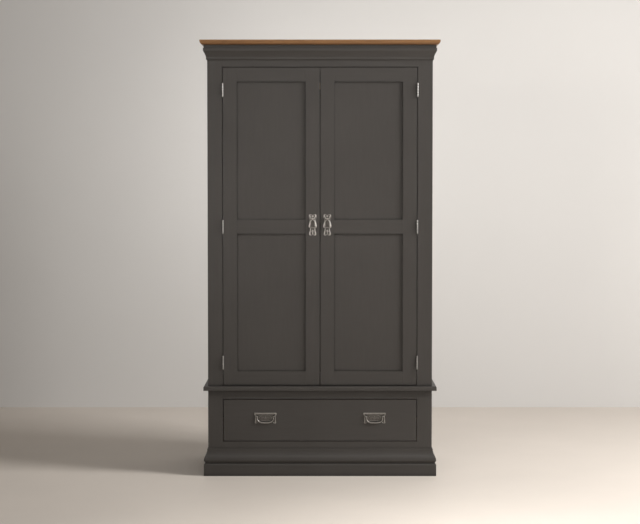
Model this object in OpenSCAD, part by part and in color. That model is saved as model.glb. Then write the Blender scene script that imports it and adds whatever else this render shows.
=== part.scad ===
// Two-door wardrobe over one long drawer: painted face frame, mitred mouldings and an oak top.
// Millimetres. +Z is up and the doors face -Y. The origin is on the floor, under the middle of the top.

/* [Overall] */
// Width of the body, without mouldings
body_w = 1000; // [940:1:1100]
// Height from the floor to the top of the oak board
overall_h = 1940; // [1920:1:2060]
// Depth of the oak board, which is the deepest piece
overall_d = 600; // [560:1:660]
// How far the oak board stands out past the body at the front and sides
top_overhang = 32; // [28:1:38]

/* [Carcass] */
// Thickness of the oak board
top_t = 22; // [20:1:26]
// Width of the face frame's stiles
frame_stile_w = 66; // [58:1:76]
// Thickness of the face frame
frame_t = 22; // [20:1:26]
// Thickness of the side panels, cabinet floor and ceiling panel
side_t = 18; // [16:1:20]
// Thickness of the back boards
back_t = 10; // [8:1:12]
// Height of the plinth block
plinth_h = 56; // [48:1:62]
// Top of the flared base moulding
base_top = 123; // [116:1:130]
// Lower edge of the drawer opening
drawer_open_low = 153; // [144:1:160]
// Upper edge of the drawer opening
drawer_open_high = 344; // [330:1:356]
// Lower face of the waist moulding
waist_low = 382; // [378:1:384]
// Upper face of the waist moulding
waist_high = 402; // [400:1:403]
// Lower edge of the door opening, level with the cabinet floor
door_open_low = 404; // [404:1:412]
// Height of the frieze and cornice together, from the door opening up to the oak board
frieze_h = 96; // [94:1:110]
// Height of the cornice moulding
cornice_h = 66; // [64:1:70]

/* [Mouldings] */
// Projection of the plinth block
plinth_out = 19; // [15:1:22]
// Projection of the waist moulding
waist_out = 20; // [16:1:24]
// Projection of the cornice's upper lip
cornice_out = 17.5; // [16:0.5:20]

/* [Doors] */
// Thickness of the doors and of the drawer front
door_t = 21; // [20:1:21]
// Gap round each door and round the drawer front
door_gap = 3; // [2:0.5:4]
// Width of the door stiles
door_stile_w = 62; // [54:1:70]
// Width of the door rails
door_rail_w = 62; // [54:1:70]
// Centre height of the door's middle rail
middle_rail_z = 1114; // [1000:1:1200]
// Thickness of the flat door panels
panel_t = 8; // [6:1:9]
// Depth of the panels behind the front of the door
panel_recess = 8; // [6:1:8]
// Depth of the grooves that hold the panels
groove = 9; // [7:1:12]

/* [Hinges] */
// Length of each butt hinge
hinge_h = 60; // [50:1:76]
// Distance from the end of the door to the centre of the nearest hinge
hinge_inset = 100; // [90:1:140]
// Radius of the knuckles
knuckle_r = 4; // [3.5:0.5:5]
// Radius of the hinge pin
pin_r = 1.5; // [1.2:0.1:1.8]
// Thickness of the hinge leaves
leaf_t = 2; // [1.5:0.5:2.5]
// Depth of the hinge leaves from the front face
leaf_d = 18; // [14:1:19]

/* [Drawer] */
// Thickness of the drawer's sides and back
drawer_side_t = 12; // [10:1:14]
// Length of the drawer box behind its front
drawer_box_d = 497; // [420:1:500]
// Number of dovetails at each front corner
dovetails = 5; // [4:1:6]

/* [Hanging rail] */
// Radius of the hanging rail
rail_r = 15; // [12:1:18]
// Height of the hanging rail's axis
rail_z = 1752; // [1680:1:1770]

/* [Handles] */
// Height of the door handle plates
pull_h = 96; // [86:1:104]
// Height of the door handles' centre
pull_z = 1122; // [1080:1:1160]
// Width of the drawer handle plates
bail_plate_w = 101; // [96:1:110]
// Distance of each drawer handle from the middle of the drawer
bail_x = 244; // [160:1:320]
// Thickness of the handle plates
plate_t = 2.5; // [2:0.5:3]

/* [Hidden] */

PAINT = [0.27, 0.255, 0.245];
OAK = [0.66, 0.47, 0.31];
PINE = [0.78, 0.64, 0.46];
PEWTER = [0.55, 0.53, 0.51];
STEEL = [0.72, 0.72, 0.72];
BROWN = [0.30, 0.20, 0.13];

// Planes of the carcass
half_w = body_w / 2;
front_y = -overall_d / 2 + top_overhang;
back_y = overall_d / 2;
frame_back_y = front_y + frame_t;
inner_back_y = back_y - back_t;
inner_x = half_w - side_t;
open_x = half_w - frame_stile_w;
top_low = overall_h - top_t;
door_open_high = top_low - frieze_h;
cornice_low = top_low - cornice_h;
frame_bottom_low = 40;
back_low = 60;

// Joints of the carcass
tenon_l = 30;
tenon_t = 8;
tenon_shoulder = 8;
tenon_y = front_y + (frame_t - tenon_t) / 2;
tongue = 6;
back_rebate = 8;
board_pitch = 98;
board_v = 3.5;

// Planes of the doors and the drawer front
door_back_y = front_y + door_t;
door_low = door_open_low + door_gap;
door_high = door_open_high - door_gap;
door_out_x = open_x - door_gap;
door_in_x = door_gap / 2;
field_low_x = door_in_x + door_stile_w;
field_high_x = door_out_x - door_stile_w;
middle_low = middle_rail_z - door_rail_w / 2;
middle_high = middle_rail_z + door_rail_w / 2;
panel_y = front_y + panel_recess;
panel_slack = 1;

// Hinge axis: in the middle of the gap, proud of the front face
hinge_clear = 0.3;
axis_x = open_x - door_gap / 2;
axis_y = front_y - knuckle_r - hinge_clear;
pin_play = 0.05;
knuckles = 5;
knuckle_gap = 0.4;
knuckle_l = (hinge_h - (knuckles - 1) * knuckle_gap) / knuckles;
hinge_zs = [door_low + hinge_inset, (door_low + door_high) / 2, door_high - hinge_inset];
screw_r = 2;
screw_head_r = 3.4;
screw_head_l = 1.4;
screw_l = 13;
screw_pitch = 20;

// Door stop and catches
stop_t = 16;
stop_low = door_open_high - 16;
stop_high = door_open_high + 24;
catch_r = 5;
catch_l = 13;
catch_x = 32;
catch_z = stop_low + 8;
strike_w = 14;
strike_h = 12;
strike_t = 1.5;
strike_proud = 0.5;

// Drawer box
drawer_low = drawer_open_low + door_gap;
drawer_high = drawer_open_high - door_gap;
box_out_x = open_x - door_gap;
box_in_x = box_out_x - drawer_side_t;
box_lift = 4.5;
box_drop = 10;
box_low = drawer_low + box_lift;
box_high = drawer_high - box_drop;
box_back_y = door_back_y + drawer_box_d;
bottom_low = box_low + 10;
bottom_t = 6;
bottom_groove = 5;
back_housing = 4;
back_inset = 12;
tail_l = 14;
tail_base = 18;
tail_flare = 3;
runner_play = 0.5;
guide_play = 1;
runner_ledge_t = 19;
runner_ledge_in = 5;
guide_h = 26;
kicker_play = 5;
kicker_w = 24;

// Hanging rail
rail_y = (frame_back_y + inner_back_y) / 2;
socket_r = 27;
socket_t = 12;
socket_bore_l = 9;
rail_play = 0.3;

// Door handle: a waisted plate with two ears, and a drop that swings between them
pull_x = (door_in_x + field_low_x) / 2;
pull_pivot_v = 28;
pull_axis_out = 6;
ear_in = 6;
ear_out = 10;
ear_half = 4;
ear_proud = 9;
drop_t = 4;
drop_hub_r = 3;
drop_lip = 5;

// Drawer handle: a plate with two lugs, and a U-shaped bail that swings between them
bail_z = 258;
bail_plate_h = 49;
bail_pivot_v = 8;
bail_axis_out = 6.5;
bail_r = 3;
bail_half = 36;
bail_corner = 20;
bail_leg = 9;
lug_in = 39;
lug_out = 44;
lug_half = 4.5;
lug_proud = 10;

// A point's distance inside a quarter round of radius r, measured at 45 degrees
function quarter(r) = r * (1 - cos(45));

// Points of the circular arc from a to b, standing off the chord by rise on its left-hand side
function bow(a, b, rise, steps = 8) =
    let (
        chord = norm(b - a),
        r = (chord * chord / 4 + rise * rise) / (2 * rise),
        left = [a[1] - b[1], b[0] - a[0]] / chord,
        centre = (a + b) / 2 + left * (rise - r),
        start = atan2(a[1] - centre[1], a[0] - centre[0]),
        sweep = -sign(rise) * 2 * asin(min(1, chord / (2 * abs(r))))
    )
    [for (i = [0:steps]) centre + abs(r) * [cos(start + sweep * i / steps),
        sin(start + sweep * i / steps)]];

// A box between two opposite corners
module block(low, high) {
    translate(low) cube(high - low);
}

// Children as drawn for side 1 (+X), mirrored for side -1
module on_side(side) {
    mirror([side < 0 ? 1 : 0, 0, 0]) children();
}

module on_both_sides() {
    for (side = [-1, 1]) on_side(side) children();
}

// A 2D outline drawn as (y, z), extruded from x0 to x1
module along_x(x0, x1) {
    translate([x0, 0, 0]) rotate([90, 0, 90]) linear_extrude(x1 - x0) children();
}

// A 2D outline drawn as (projection, z) along the front, mitred at both corners
module front_run(outline) {
    reach = 40;
    intersection() {
        translate([half_w + reach, front_y, 0]) rotate([90, 0, -90])
            linear_extrude(body_w + 2 * reach) polygon(outline);
        linear_extrude(overall_h) polygon([[-half_w, front_y], [half_w, front_y],
            [half_w + reach, front_y - reach], [-half_w - reach, front_y - reach]]);
    }
}

// The same outline along the right-hand side, from the front mitre to the back
module return_run(outline) {
    reach = 40;
    intersection() {
        translate([half_w, back_y, 0]) rotate([90, 0, 0])
            linear_extrude(back_y - front_y + reach) polygon(outline);
        linear_extrude(overall_h) polygon([[half_w, front_y], [half_w + reach, front_y - reach],
            [half_w + reach, back_y], [half_w, back_y]]);
    }
}

// Plinth block: square, with a rounded upper edge
plinth_round = 8;
plinth_outline = concat([[0, 0], [plinth_out, 0]],
    bow([plinth_out, plinth_h - plinth_round], [plinth_out - plinth_round, plinth_h],
        -quarter(plinth_round), 7),
    [[0, plinth_h]]);

// Base moulding: a quirk, a round nose and a hollow that sweeps up to a small fillet
base_quirk = [12.5, plinth_h + 5];
base_nose = [18.5, plinth_h + 18];
base_turn = [10.4, plinth_h + 36];
base_fillet = [4.5, base_top - 5];
base_outline = concat([[0, plinth_h], [base_quirk[0], plinth_h]],
    bow(base_quirk, base_nose, -2.6, 7),
    bow(base_nose, base_turn, -1.6, 6),
    bow(base_turn, base_fillet, 2.2, 8),
    [[3, base_top - 4], [3, base_top], [0, base_top]]);

// Waist moulding: flat below, rounded above
waist_round = 5.5;
waist_edge = 2;
waist_outline = concat([[0, waist_low]],
    bow([waist_out - waist_edge, waist_low], [waist_out, waist_low + waist_edge],
        -quarter(waist_edge), 3),
    bow([waist_out, waist_high - waist_round], [waist_out - waist_round, waist_high],
        -quarter(waist_round), 8),
    [[0, waist_high]]);

// Cornice: a small astragal, a shallow hollow, an upright lip and a quirk under the oak board
cornice_bead = 5;
cornice_quirk = 3;
cove_low = cornice_low + 13.5;
cove_high = cornice_low + 38.5;
lip_high = top_low - 13;
lip_round = 1.5;
cornice_outline = concat([[0, cornice_low]],
    bow([cornice_bead - 3, cornice_low], [cornice_bead, cornice_low + 4], -0.8, 4),
    bow([cornice_bead, cove_low], [cornice_out - 0.8, cove_high], 1, 8),
    [[cornice_out, cove_high + 2]],
    bow([cornice_out, lip_high - lip_round], [cornice_out - lip_round, lip_high],
        -quarter(lip_round), 3),
    [[cornice_out - cornice_quirk, lip_high], [cornice_out - cornice_quirk, top_low], [0, top_low]]);

module plinth_front() {
    color(PAINT) front_run(plinth_outline);
}

module plinth_returns() {
    color(PAINT) on_both_sides() return_run(plinth_outline);
}

module base_moulding_front() {
    color(PAINT) front_run(base_outline);
}

module base_moulding_returns() {
    color(PAINT) on_both_sides() return_run(base_outline);
}

module waist_moulding_front() {
    color(PAINT) front_run(waist_outline);
}

module waist_moulding_returns() {
    color(PAINT) on_both_sides() return_run(waist_outline);
}

module cornice_front() {
    color(PAINT) front_run(cornice_outline);
}

module cornice_returns() {
    color(PAINT) on_both_sides() return_run(cornice_outline);
}

// Right-hand edge of the oak board, from the underside up: a quarter round, an upright and an arris.
// The upright stands at distance edge from the middle.
function oak_edge(edge) =
    let (under = 17, arris = 1.5)
    concat(bow([edge - under, top_low], [edge, top_low + under], -quarter(under), 8),
        bow([edge, overall_h - arris], [edge - arris, overall_h], -quarter(arris), 3));

module oak_top() {
    half = half_w + top_overhang;
    right = oak_edge(half);
    front = oak_edge(back_y);
    color(OAK) intersection() {
        translate([0, back_y, 0]) rotate([90, 0, 0]) linear_extrude(overall_d)
            polygon(concat(right, [for (i = [len(right) - 1:-1:0]) [-right[i][0], right[i][1]]]));
        along_x(-half, half) polygon(concat([for (p = front) [-p[0], p[1]]],
            [[back_y, overall_h], [back_y, top_low]]));
    }
}

// Side panel: tongue into the stile, housing for the cabinet floor, rebate for the back
module side_panel() {
    difference() {
        union() {
            block([inner_x, frame_back_y, 0], [half_w, back_y, top_low]);
            block([inner_x + tongue, frame_back_y - tongue, 0],
                [inner_x + 2 * tongue, frame_back_y, top_low]);
        }
        block([inner_x - 1, frame_back_y - 1, door_open_low - side_t],
            [inner_x + tongue, inner_back_y, door_open_low]);
        block([inner_x - 1, inner_back_y, back_low], [inner_x + back_rebate, back_y + 1, top_low + 1]);
    }
}

module side_left() {
    color(PAINT) on_side(-1) side_panel();
}

module side_right() {
    color(PAINT) side_panel();
}

// Upright of the face frame: mortises for three rails, housings for three hinges
module frame_stile() {
    difference() {
        block([open_x, front_y, 0], [half_w, frame_back_y, top_low]);
        block([inner_x + tongue, frame_back_y - tongue, -1],
            [inner_x + 2 * tongue, frame_back_y + 1, top_low + 1]);
        tenons(frame_bottom_low, drawer_open_low);
        tenons(drawer_open_high, door_open_low);
        tenons(door_open_high, top_low);
        for (z = hinge_zs) {
            leaf_plate(open_x, 1, z);
            for (s = [-1:1]) screw(open_x, 1, z + s * screw_pitch);
        }
    }
}

// The tenon of a frame rail that spans low to high
module tenons(low, high) {
    block([open_x, tenon_y, low + tenon_shoulder],
        [open_x + tenon_l, tenon_y + tenon_t, high - tenon_shoulder]);
}

module frame_rail(low, high) {
    block([-open_x, front_y, low], [open_x, frame_back_y, high]);
    on_both_sides() tenons(low, high);
}

module frame_stile_left() {
    color(PAINT) on_side(-1) frame_stile();
}

module frame_stile_right() {
    color(PAINT) frame_stile();
}

module frame_top_rail() {
    color(PAINT) frame_rail(door_open_high, top_low);
}

module frame_middle_rail() {
    color(PAINT) frame_rail(drawer_open_high, door_open_low);
}

module frame_bottom_rail() {
    color(PAINT) frame_rail(frame_bottom_low, drawer_open_low);
}

module cabinet_floor() {
    color(PAINT) block([-inner_x - tongue, frame_back_y, door_open_low - side_t],
        [inner_x + tongue, inner_back_y, door_open_low]);
}

// Upright boards with a V joint between them, front and back
module back_panel() {
    half = inner_x + back_rebate;
    joints = floor(half / board_pitch);
    color(PAINT) translate([0, 0, back_low]) linear_extrude(top_low - back_low) difference() {
        translate([-half, inner_back_y]) square([2 * half, back_t]);
        for (i = [-joints:joints], y = [inner_back_y, back_y])
            translate([i * board_pitch, y]) rotate(45) square(board_v, center = true);
    }
}

module ceiling_panel() {
    color(PAINT) block([-inner_x, frame_back_y, top_low - side_t], [inner_x, inner_back_y, top_low]);
}

module hanging_rail() {
    reach = inner_x - socket_t + socket_bore_l - rail_play;
    color(PINE) translate([-reach, rail_y, rail_z]) rotate([0, 90, 0])
        cylinder(r = rail_r, h = 2 * reach, $fn = 64);
}

module rail_sockets() {
    color(PINE) on_both_sides() translate([inner_x - socket_t, rail_y, rail_z]) rotate([0, 90, 0])
        difference() {
            cylinder(r = socket_r, h = socket_t, $fn = 64);
            translate([0, 0, -1]) cylinder(r = rail_r + rail_play, h = socket_bore_l + 1, $fn = 64);
        }
}

// A ledge under the drawer side and a guide beside it, fixed to the side panel
module drawer_runners() {
    ledge_high = box_low - runner_play;
    color(PINE) on_both_sides() {
        block([box_in_x - runner_ledge_in, frame_back_y, ledge_high - runner_ledge_t],
            [inner_x, inner_back_y, ledge_high]);
        block([box_out_x + guide_play, frame_back_y, ledge_high],
            [inner_x, inner_back_y, ledge_high + guide_h]);
    }
}

// Strips over the drawer sides that stop the drawer tipping, fixed under the cabinet floor
module drawer_kickers() {
    color(PINE) on_both_sides()
        block([box_out_x - kicker_w, frame_back_y, box_high + kicker_play],
            [box_out_x, inner_back_y, door_open_low - side_t]);
}

// A batten behind the top rail, with two press-in magnetic catches
module door_stop() {
    color(PAINT) difference() {
        block([-open_x, frame_back_y, stop_low], [open_x, frame_back_y + stop_t, stop_high]);
        on_both_sides() catch_body();
    }
}

module catch_body() {
    translate([catch_x, frame_back_y, catch_z]) rotate([-90, 0, 0])
        cylinder(r = catch_r, h = catch_l, $fn = 48);
}

module magnetic_catches() {
    color(BROWN) on_both_sides() catch_body();
}

// The flat of one hinge leaf, on edge x with its thickness going in direction dir
module leaf_plate(x, dir, z) {
    x0 = min(x, x + dir * leaf_t);
    block([x0, front_y, z - hinge_h / 2], [x0 + leaf_t, front_y + leaf_d, z + hinge_h / 2]);
}

// One hinge leaf: its flat, its knuckles (first, first + 2, ...) and the straps that join them
module hinge_leaf(x, dir, z, first) {
    x0 = min(x, x + dir * leaf_t);
    difference() {
        union() {
            leaf_plate(x, dir, z);
            for (i = [first:2:knuckles - 1]) {
                low = z - hinge_h / 2 + i * (knuckle_l + knuckle_gap);
                translate([axis_x, axis_y, low]) cylinder(r = knuckle_r, h = knuckle_l, $fn = 40);
                block([x0, axis_y, low], [x0 + leaf_t, front_y + 1, low + knuckle_l]);
            }
        }
        translate([axis_x, axis_y, z - hinge_h / 2 - 1])
            cylinder(r = pin_r + pin_play, h = hinge_h + 2, $fn = 40);
        for (s = [-1:1]) screw(x, dir, z + s * screw_pitch);
    }
}

// A countersunk screw with its head flush in edge x, driven in direction dir
module screw(x, dir, z) {
    translate([x, front_y + leaf_d / 2, z]) rotate([0, 90 * dir, 0]) {
        cylinder(r1 = screw_head_r, r2 = screw_r, h = screw_head_l, $fn = 32);
        cylinder(r = screw_r, h = screw_l, $fn = 32);
    }
}

module frame_hinge_leaves() {
    color(STEEL) on_both_sides() for (z = hinge_zs) hinge_leaf(open_x, 1, z, 0);
}

module hinge_pins() {
    color(STEEL) on_both_sides() for (z = hinge_zs)
        translate([axis_x, axis_y, z - hinge_h / 2]) cylinder(r = pin_r, h = hinge_h, $fn = 40);
}

module frame_hinge_screws() {
    color(STEEL) on_both_sides() for (z = hinge_zs, s = [-1:1])
        screw(open_x, 1, z + s * screw_pitch);
}

// Grooved upright of a door between x0 and x1, before its grooves are cut
module door_upright(x0, x1) {
    block([x0, front_y, door_low], [x1, door_back_y, door_high]);
}

// The groove that takes the panels and the rails' tongues, along the inner edge at x
module stile_groove(x, dir) {
    x0 = min(x, x + dir * groove);
    block([x0, panel_y, door_low - 1], [x0 + groove, panel_y + panel_t, door_high + 1]);
}

module hinge_stile() {
    difference() {
        door_upright(field_high_x, door_out_x);
        stile_groove(field_high_x, 1);
        for (z = hinge_zs) {
            leaf_plate(door_out_x, -1, z);
            for (s = [-1:1]) screw(door_out_x, -1, z + s * screw_pitch);
        }
    }
}

module meeting_stile() {
    difference() {
        door_upright(door_in_x, field_low_x);
        stile_groove(field_low_x, -1);
        strike_plate();
    }
}

// A rail with tongues into both stiles and grooves on the edges that face a panel
module door_rail(low, high, groove_below, groove_above) {
    difference() {
        union() {
            block([field_low_x, front_y, low], [field_high_x, door_back_y, high]);
            block([field_low_x - groove, panel_y, low],
                [field_high_x + groove, panel_y + panel_t, high]);
        }
        if (groove_below)
            block([field_low_x - groove - 1, panel_y, low - 1],
                [field_high_x + groove + 1, panel_y + panel_t, low + groove]);
        if (groove_above)
            block([field_low_x - groove - 1, panel_y, high - groove],
                [field_high_x + groove + 1, panel_y + panel_t, high + 1]);
    }
}

// A flat panel that floats in the grooves, with a little room for the wood to move
module door_panel(low, high) {
    hold = groove - panel_slack;
    block([field_low_x - hold, panel_y, low - hold],
        [field_high_x + hold, panel_y + panel_t, high + hold]);
}

module door_hinge_leaves() {
    for (z = hinge_zs) hinge_leaf(door_out_x, -1, z, 1);
}

module door_hinge_screws() {
    for (z = hinge_zs, s = [-1:1]) screw(door_out_x, -1, z + s * screw_pitch);
}

module strike_plate() {
    block([catch_x - strike_w / 2, door_back_y + strike_proud - strike_t, catch_z - strike_h / 2],
        [catch_x + strike_w / 2, door_back_y + strike_proud, catch_z + strike_h / 2]);
}

// Children drawn as (u, v) outlines, extruded from near to far in front of the door or drawer front
module in_front(near, far) {
    translate([0, front_y - near, 0]) rotate([90, 0, 0]) linear_extrude(far - near) children();
}

// Right half of the door handle plate, from the bottom up
function pull_half() =
    let (half = pull_h / 2, low_w = 16, high_w = 17.4, waist = 11)
    concat([[0, -half + 3.5], [6, -half + 3], [9, -half]],
        bow([low_w - 4, -half], [low_w, -half + 5], -1.4, 5),
        bow([low_w, -half + 12], [waist, -8], 1.6, 8),
        bow([waist, 0], [high_w - 2, half - 20], 1.2, 8),
        bow([high_w, half - 12], [high_w - 4, half], -2.4, 7),
        bow([high_w - 6.5, half], [0, half - 4], 1.6, 6));

function both_halves(right) = concat(right, [for (i = [len(right) - 1:-1:0]) [-right[i][0], right[i][1]]]);

module door_handle_plate() {
    translate([pull_x, 0, pull_z]) {
        in_front(0, plate_t) polygon(both_halves(pull_half()));
        difference() {
            for (side = [-1, 1]) on_side(side)
                in_front(plate_t - 1, ear_proud) translate([ear_in, pull_pivot_v - ear_half])
                    square([ear_out - ear_in, 2 * ear_half]);
            translate([0, front_y - pull_axis_out, pull_pivot_v]) rotate([0, 90, 0])
                cylinder(r = pin_r + pin_play, h = 2 * ear_out + 2, center = true, $fn = 32);
        }
    }
}

// The drop: a hub with two pins, a neck, and a loop that widens towards a lipped lower bar
module drop_handle() {
    near = pull_axis_out - drop_t / 2;
    far = pull_axis_out + drop_t / 2;
    translate([pull_x, 0, pull_z]) {
        translate([0, front_y - pull_axis_out, pull_pivot_v]) rotate([0, 90, 0]) {
            cylinder(r = drop_hub_r, h = 2 * (ear_in - 0.4), center = true, $fn = 32);
            cylinder(r = pin_r, h = 2 * ear_out, center = true, $fn = 32);
        }
        in_front(near, far) difference() {
            polygon(both_halves(concat([[0, -13.5]], bow([15, -13.5], [18.8, -10], -1, 4),
                [[18, -2]], bow([14.6, 17.5], [11, 21.5], -1.2, 4), [[4, 21.8], [4, 27], [0, 27]])));
            polygon(both_halves(concat([[0, -7.5]], bow([9.5, -7.5], [12, -5], -0.7, 4),
                bow([8.6, 13], [6.6, 15], -0.5, 4), [[0, 15.6]])));
        }
        in_front(far - 1, far + drop_lip) translate([-14, -13.5]) square([28, 5]);
    }
}

// Right half of the drawer handle plate, from the bottom up
function bail_plate_half() =
    let (half = bail_plate_h / 2, w = bail_plate_w / 2)
    concat(bow([0, -half + 11], [36, -half + 3], 2.4, 8),
        [[38, -half]], bow([45, -half], [48, -half + 3], -0.9, 4),
        bow([47, -half + 10], [46.5, half - 14], 1.2, 6),
        bow([w - 1.5, half - 9], [w, half - 7], -0.5, 3),
        [[w, half - 1.5], [w - 1.5, half], [0, half]]);

module drawer_handle_plates() {
    color(PEWTER) on_both_sides() translate([bail_x, 0, bail_z]) {
        in_front(0, plate_t) polygon(both_halves(bail_plate_half()));
        difference() {
            for (side = [-1, 1]) on_side(side)
                in_front(plate_t - 1, lug_proud) translate([lug_in, bail_pivot_v - lug_half])
                    square([lug_out - lug_in, 2 * lug_half]);
            translate([0, front_y - bail_axis_out, bail_pivot_v]) rotate([0, 90, 0])
                cylinder(r = pin_r + pin_play, h = 2 * lug_out + 2, center = true, $fn = 32);
        }
    }
}

// The bail: two pins and hubs, two legs, two quarter-round corners and a straight grip
module bail_handle() {
    leg_low = bail_pivot_v - bail_leg;
    translate([bail_x, front_y - bail_axis_out, bail_z]) {
        for (side = [-1, 1]) on_side(side) {
            translate([bail_half - bail_r, 0, bail_pivot_v]) rotate([0, 90, 0]) {
                cylinder(r = bail_r + 0.4, h = lug_in - 0.4 - bail_half + bail_r, $fn = 32);
                cylinder(r = pin_r, h = lug_out - bail_half + bail_r, $fn = 32);
            }
            translate([bail_half, 0, leg_low]) cylinder(r = bail_r, h = bail_leg, $fn = 32);
            translate([bail_half - bail_corner, 0, leg_low]) rotate([90, 0, 0])
                rotate([0, 0, -90]) rotate_extrude(angle = 90, $fn = 96)
                translate([bail_corner, 0]) circle(r = bail_r, $fn = 32);
        }
        translate([0, 0, leg_low - bail_corner]) rotate([0, 90, 0])
            cylinder(r = bail_r, h = 2 * (bail_half - bail_corner), center = true, $fn = 32);
    }
}

// Tails on the front end of a drawer side, as a (y, z) outline
module tails() {
    pitch = (box_high - box_low) / dovetails;
    for (i = [0:dovetails - 1]) {
        z = box_low + (i + 0.5) * pitch;
        polygon([[door_back_y, z - tail_base / 2], [door_back_y, z + tail_base / 2],
            [door_back_y - tail_l, z + tail_base / 2 + tail_flare],
            [door_back_y - tail_l, z - tail_base / 2 - tail_flare]]);
    }
}

module drawer_side() {
    difference() {
        along_x(box_in_x, box_out_x) {
            translate([door_back_y, box_low]) square([drawer_box_d, box_high - box_low]);
            tails();
        }
        block([box_in_x - 1, door_back_y, bottom_low],
            [box_in_x + bottom_groove, box_back_y + 1, bottom_low + bottom_t]);
        block([box_in_x - 1, box_back_y - back_inset - drawer_side_t, bottom_low + bottom_t],
            [box_in_x + back_housing, box_back_y - back_inset, box_high + 1]);
    }
}

module drawer_front() {
    color(PAINT) difference() {
        block([-box_out_x, front_y, drawer_low], [box_out_x, door_back_y, drawer_high]);
        on_both_sides() along_x(box_in_x, box_out_x + 1) tails();
        block([-box_in_x, door_back_y - bottom_groove, bottom_low],
            [box_in_x, door_back_y + 1, bottom_low + bottom_t]);
    }
}

module drawer_side_left() {
    color(PINE) on_side(-1) drawer_side();
}

module drawer_side_right() {
    color(PINE) drawer_side();
}

module drawer_back() {
    color(PINE) block([-box_in_x - back_housing, box_back_y - back_inset - drawer_side_t,
        bottom_low + bottom_t], [box_in_x + back_housing, box_back_y - back_inset, box_high]);
}

module drawer_bottom() {
    color(PINE) {
        block([-box_in_x, door_back_y - bottom_groove, bottom_low],
            [box_in_x, door_back_y, bottom_low + bottom_t]);
        block([-box_in_x - bottom_groove, door_back_y, bottom_low],
            [box_in_x + bottom_groove, box_back_y, bottom_low + bottom_t]);
    }
}

module left_hinge_stile() { color(PAINT) on_side(-1) hinge_stile(); }
module left_meeting_stile() { color(PAINT) on_side(-1) meeting_stile(); }
module left_top_rail() { color(PAINT) on_side(-1) top_rail(); }
module left_middle_rail() { color(PAINT) on_side(-1) middle_rail(); }
module left_bottom_rail() { color(PAINT) on_side(-1) bottom_rail(); }
module left_upper_panel() { color(PAINT) on_side(-1) upper_panel(); }
module left_lower_panel() { color(PAINT) on_side(-1) lower_panel(); }
module left_hinge_leaves() { color(STEEL) on_side(-1) door_hinge_leaves(); }
module left_hinge_screws() { color(STEEL) on_side(-1) door_hinge_screws(); }
module left_handle_plate() { color(PEWTER) on_side(-1) door_handle_plate(); }
module left_strike_plate() { color(STEEL) on_side(-1) strike_plate(); }
module left_drop_handle() { color(PEWTER) on_side(-1) drop_handle(); }
module left_bail_handle() { color(PEWTER) on_side(-1) bail_handle(); }

module right_hinge_stile() { color(PAINT) hinge_stile(); }
module right_meeting_stile() { color(PAINT) meeting_stile(); }
module right_top_rail() { color(PAINT) top_rail(); }
module right_middle_rail() { color(PAINT) middle_rail(); }
module right_bottom_rail() { color(PAINT) bottom_rail(); }
module right_upper_panel() { color(PAINT) upper_panel(); }
module right_lower_panel() { color(PAINT) lower_panel(); }
module right_hinge_leaves() { color(STEEL) door_hinge_leaves(); }
module right_hinge_screws() { color(STEEL) door_hinge_screws(); }
module right_handle_plate() { color(PEWTER) door_handle_plate(); }
module right_strike_plate() { color(STEEL) strike_plate(); }
module right_drop_handle() { color(PEWTER) drop_handle(); }
module right_bail_handle() { color(PEWTER) bail_handle(); }

module top_rail() {
    door_rail(door_high - door_rail_w, door_high, true, false);
}

module middle_rail() {
    door_rail(middle_low, middle_high, true, true);
}

module bottom_rail() {
    door_rail(door_low, door_low + door_rail_w, false, true);
}

module upper_panel() {
    door_panel(middle_high, door_high - door_rail_w);
}

module lower_panel() {
    door_panel(door_low + door_rail_w, middle_low);
}

plinth_front();
plinth_returns();
base_moulding_front();
base_moulding_returns();
waist_moulding_front();
waist_moulding_returns();
cornice_front();
cornice_returns();
oak_top();
side_left();
side_right();
frame_stile_left();
frame_stile_right();
frame_top_rail();
frame_middle_rail();
frame_bottom_rail();
cabinet_floor();
back_panel();
ceiling_panel();
hanging_rail();
rail_sockets();
drawer_runners();
drawer_kickers();
door_stop();
magnetic_catches();
frame_hinge_leaves();
hinge_pins();
frame_hinge_screws();
left_hinge_stile();
left_meeting_stile();
left_top_rail();
left_middle_rail();
left_bottom_rail();
left_upper_panel();
left_lower_panel();
left_hinge_leaves();
left_hinge_screws();
left_handle_plate();
left_strike_plate();
left_drop_handle();
right_hinge_stile();
right_meeting_stile();
right_top_rail();
right_middle_rail();
right_bottom_rail();
right_upper_panel();
right_lower_panel();
right_hinge_leaves();
right_hinge_screws();
right_handle_plate();
right_strike_plate();
right_drop_handle();
drawer_front();
drawer_side_left();
drawer_side_right();
drawer_back();
drawer_bottom();
drawer_handle_plates();
left_bail_handle();
right_bail_handle();
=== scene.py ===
import math

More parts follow.
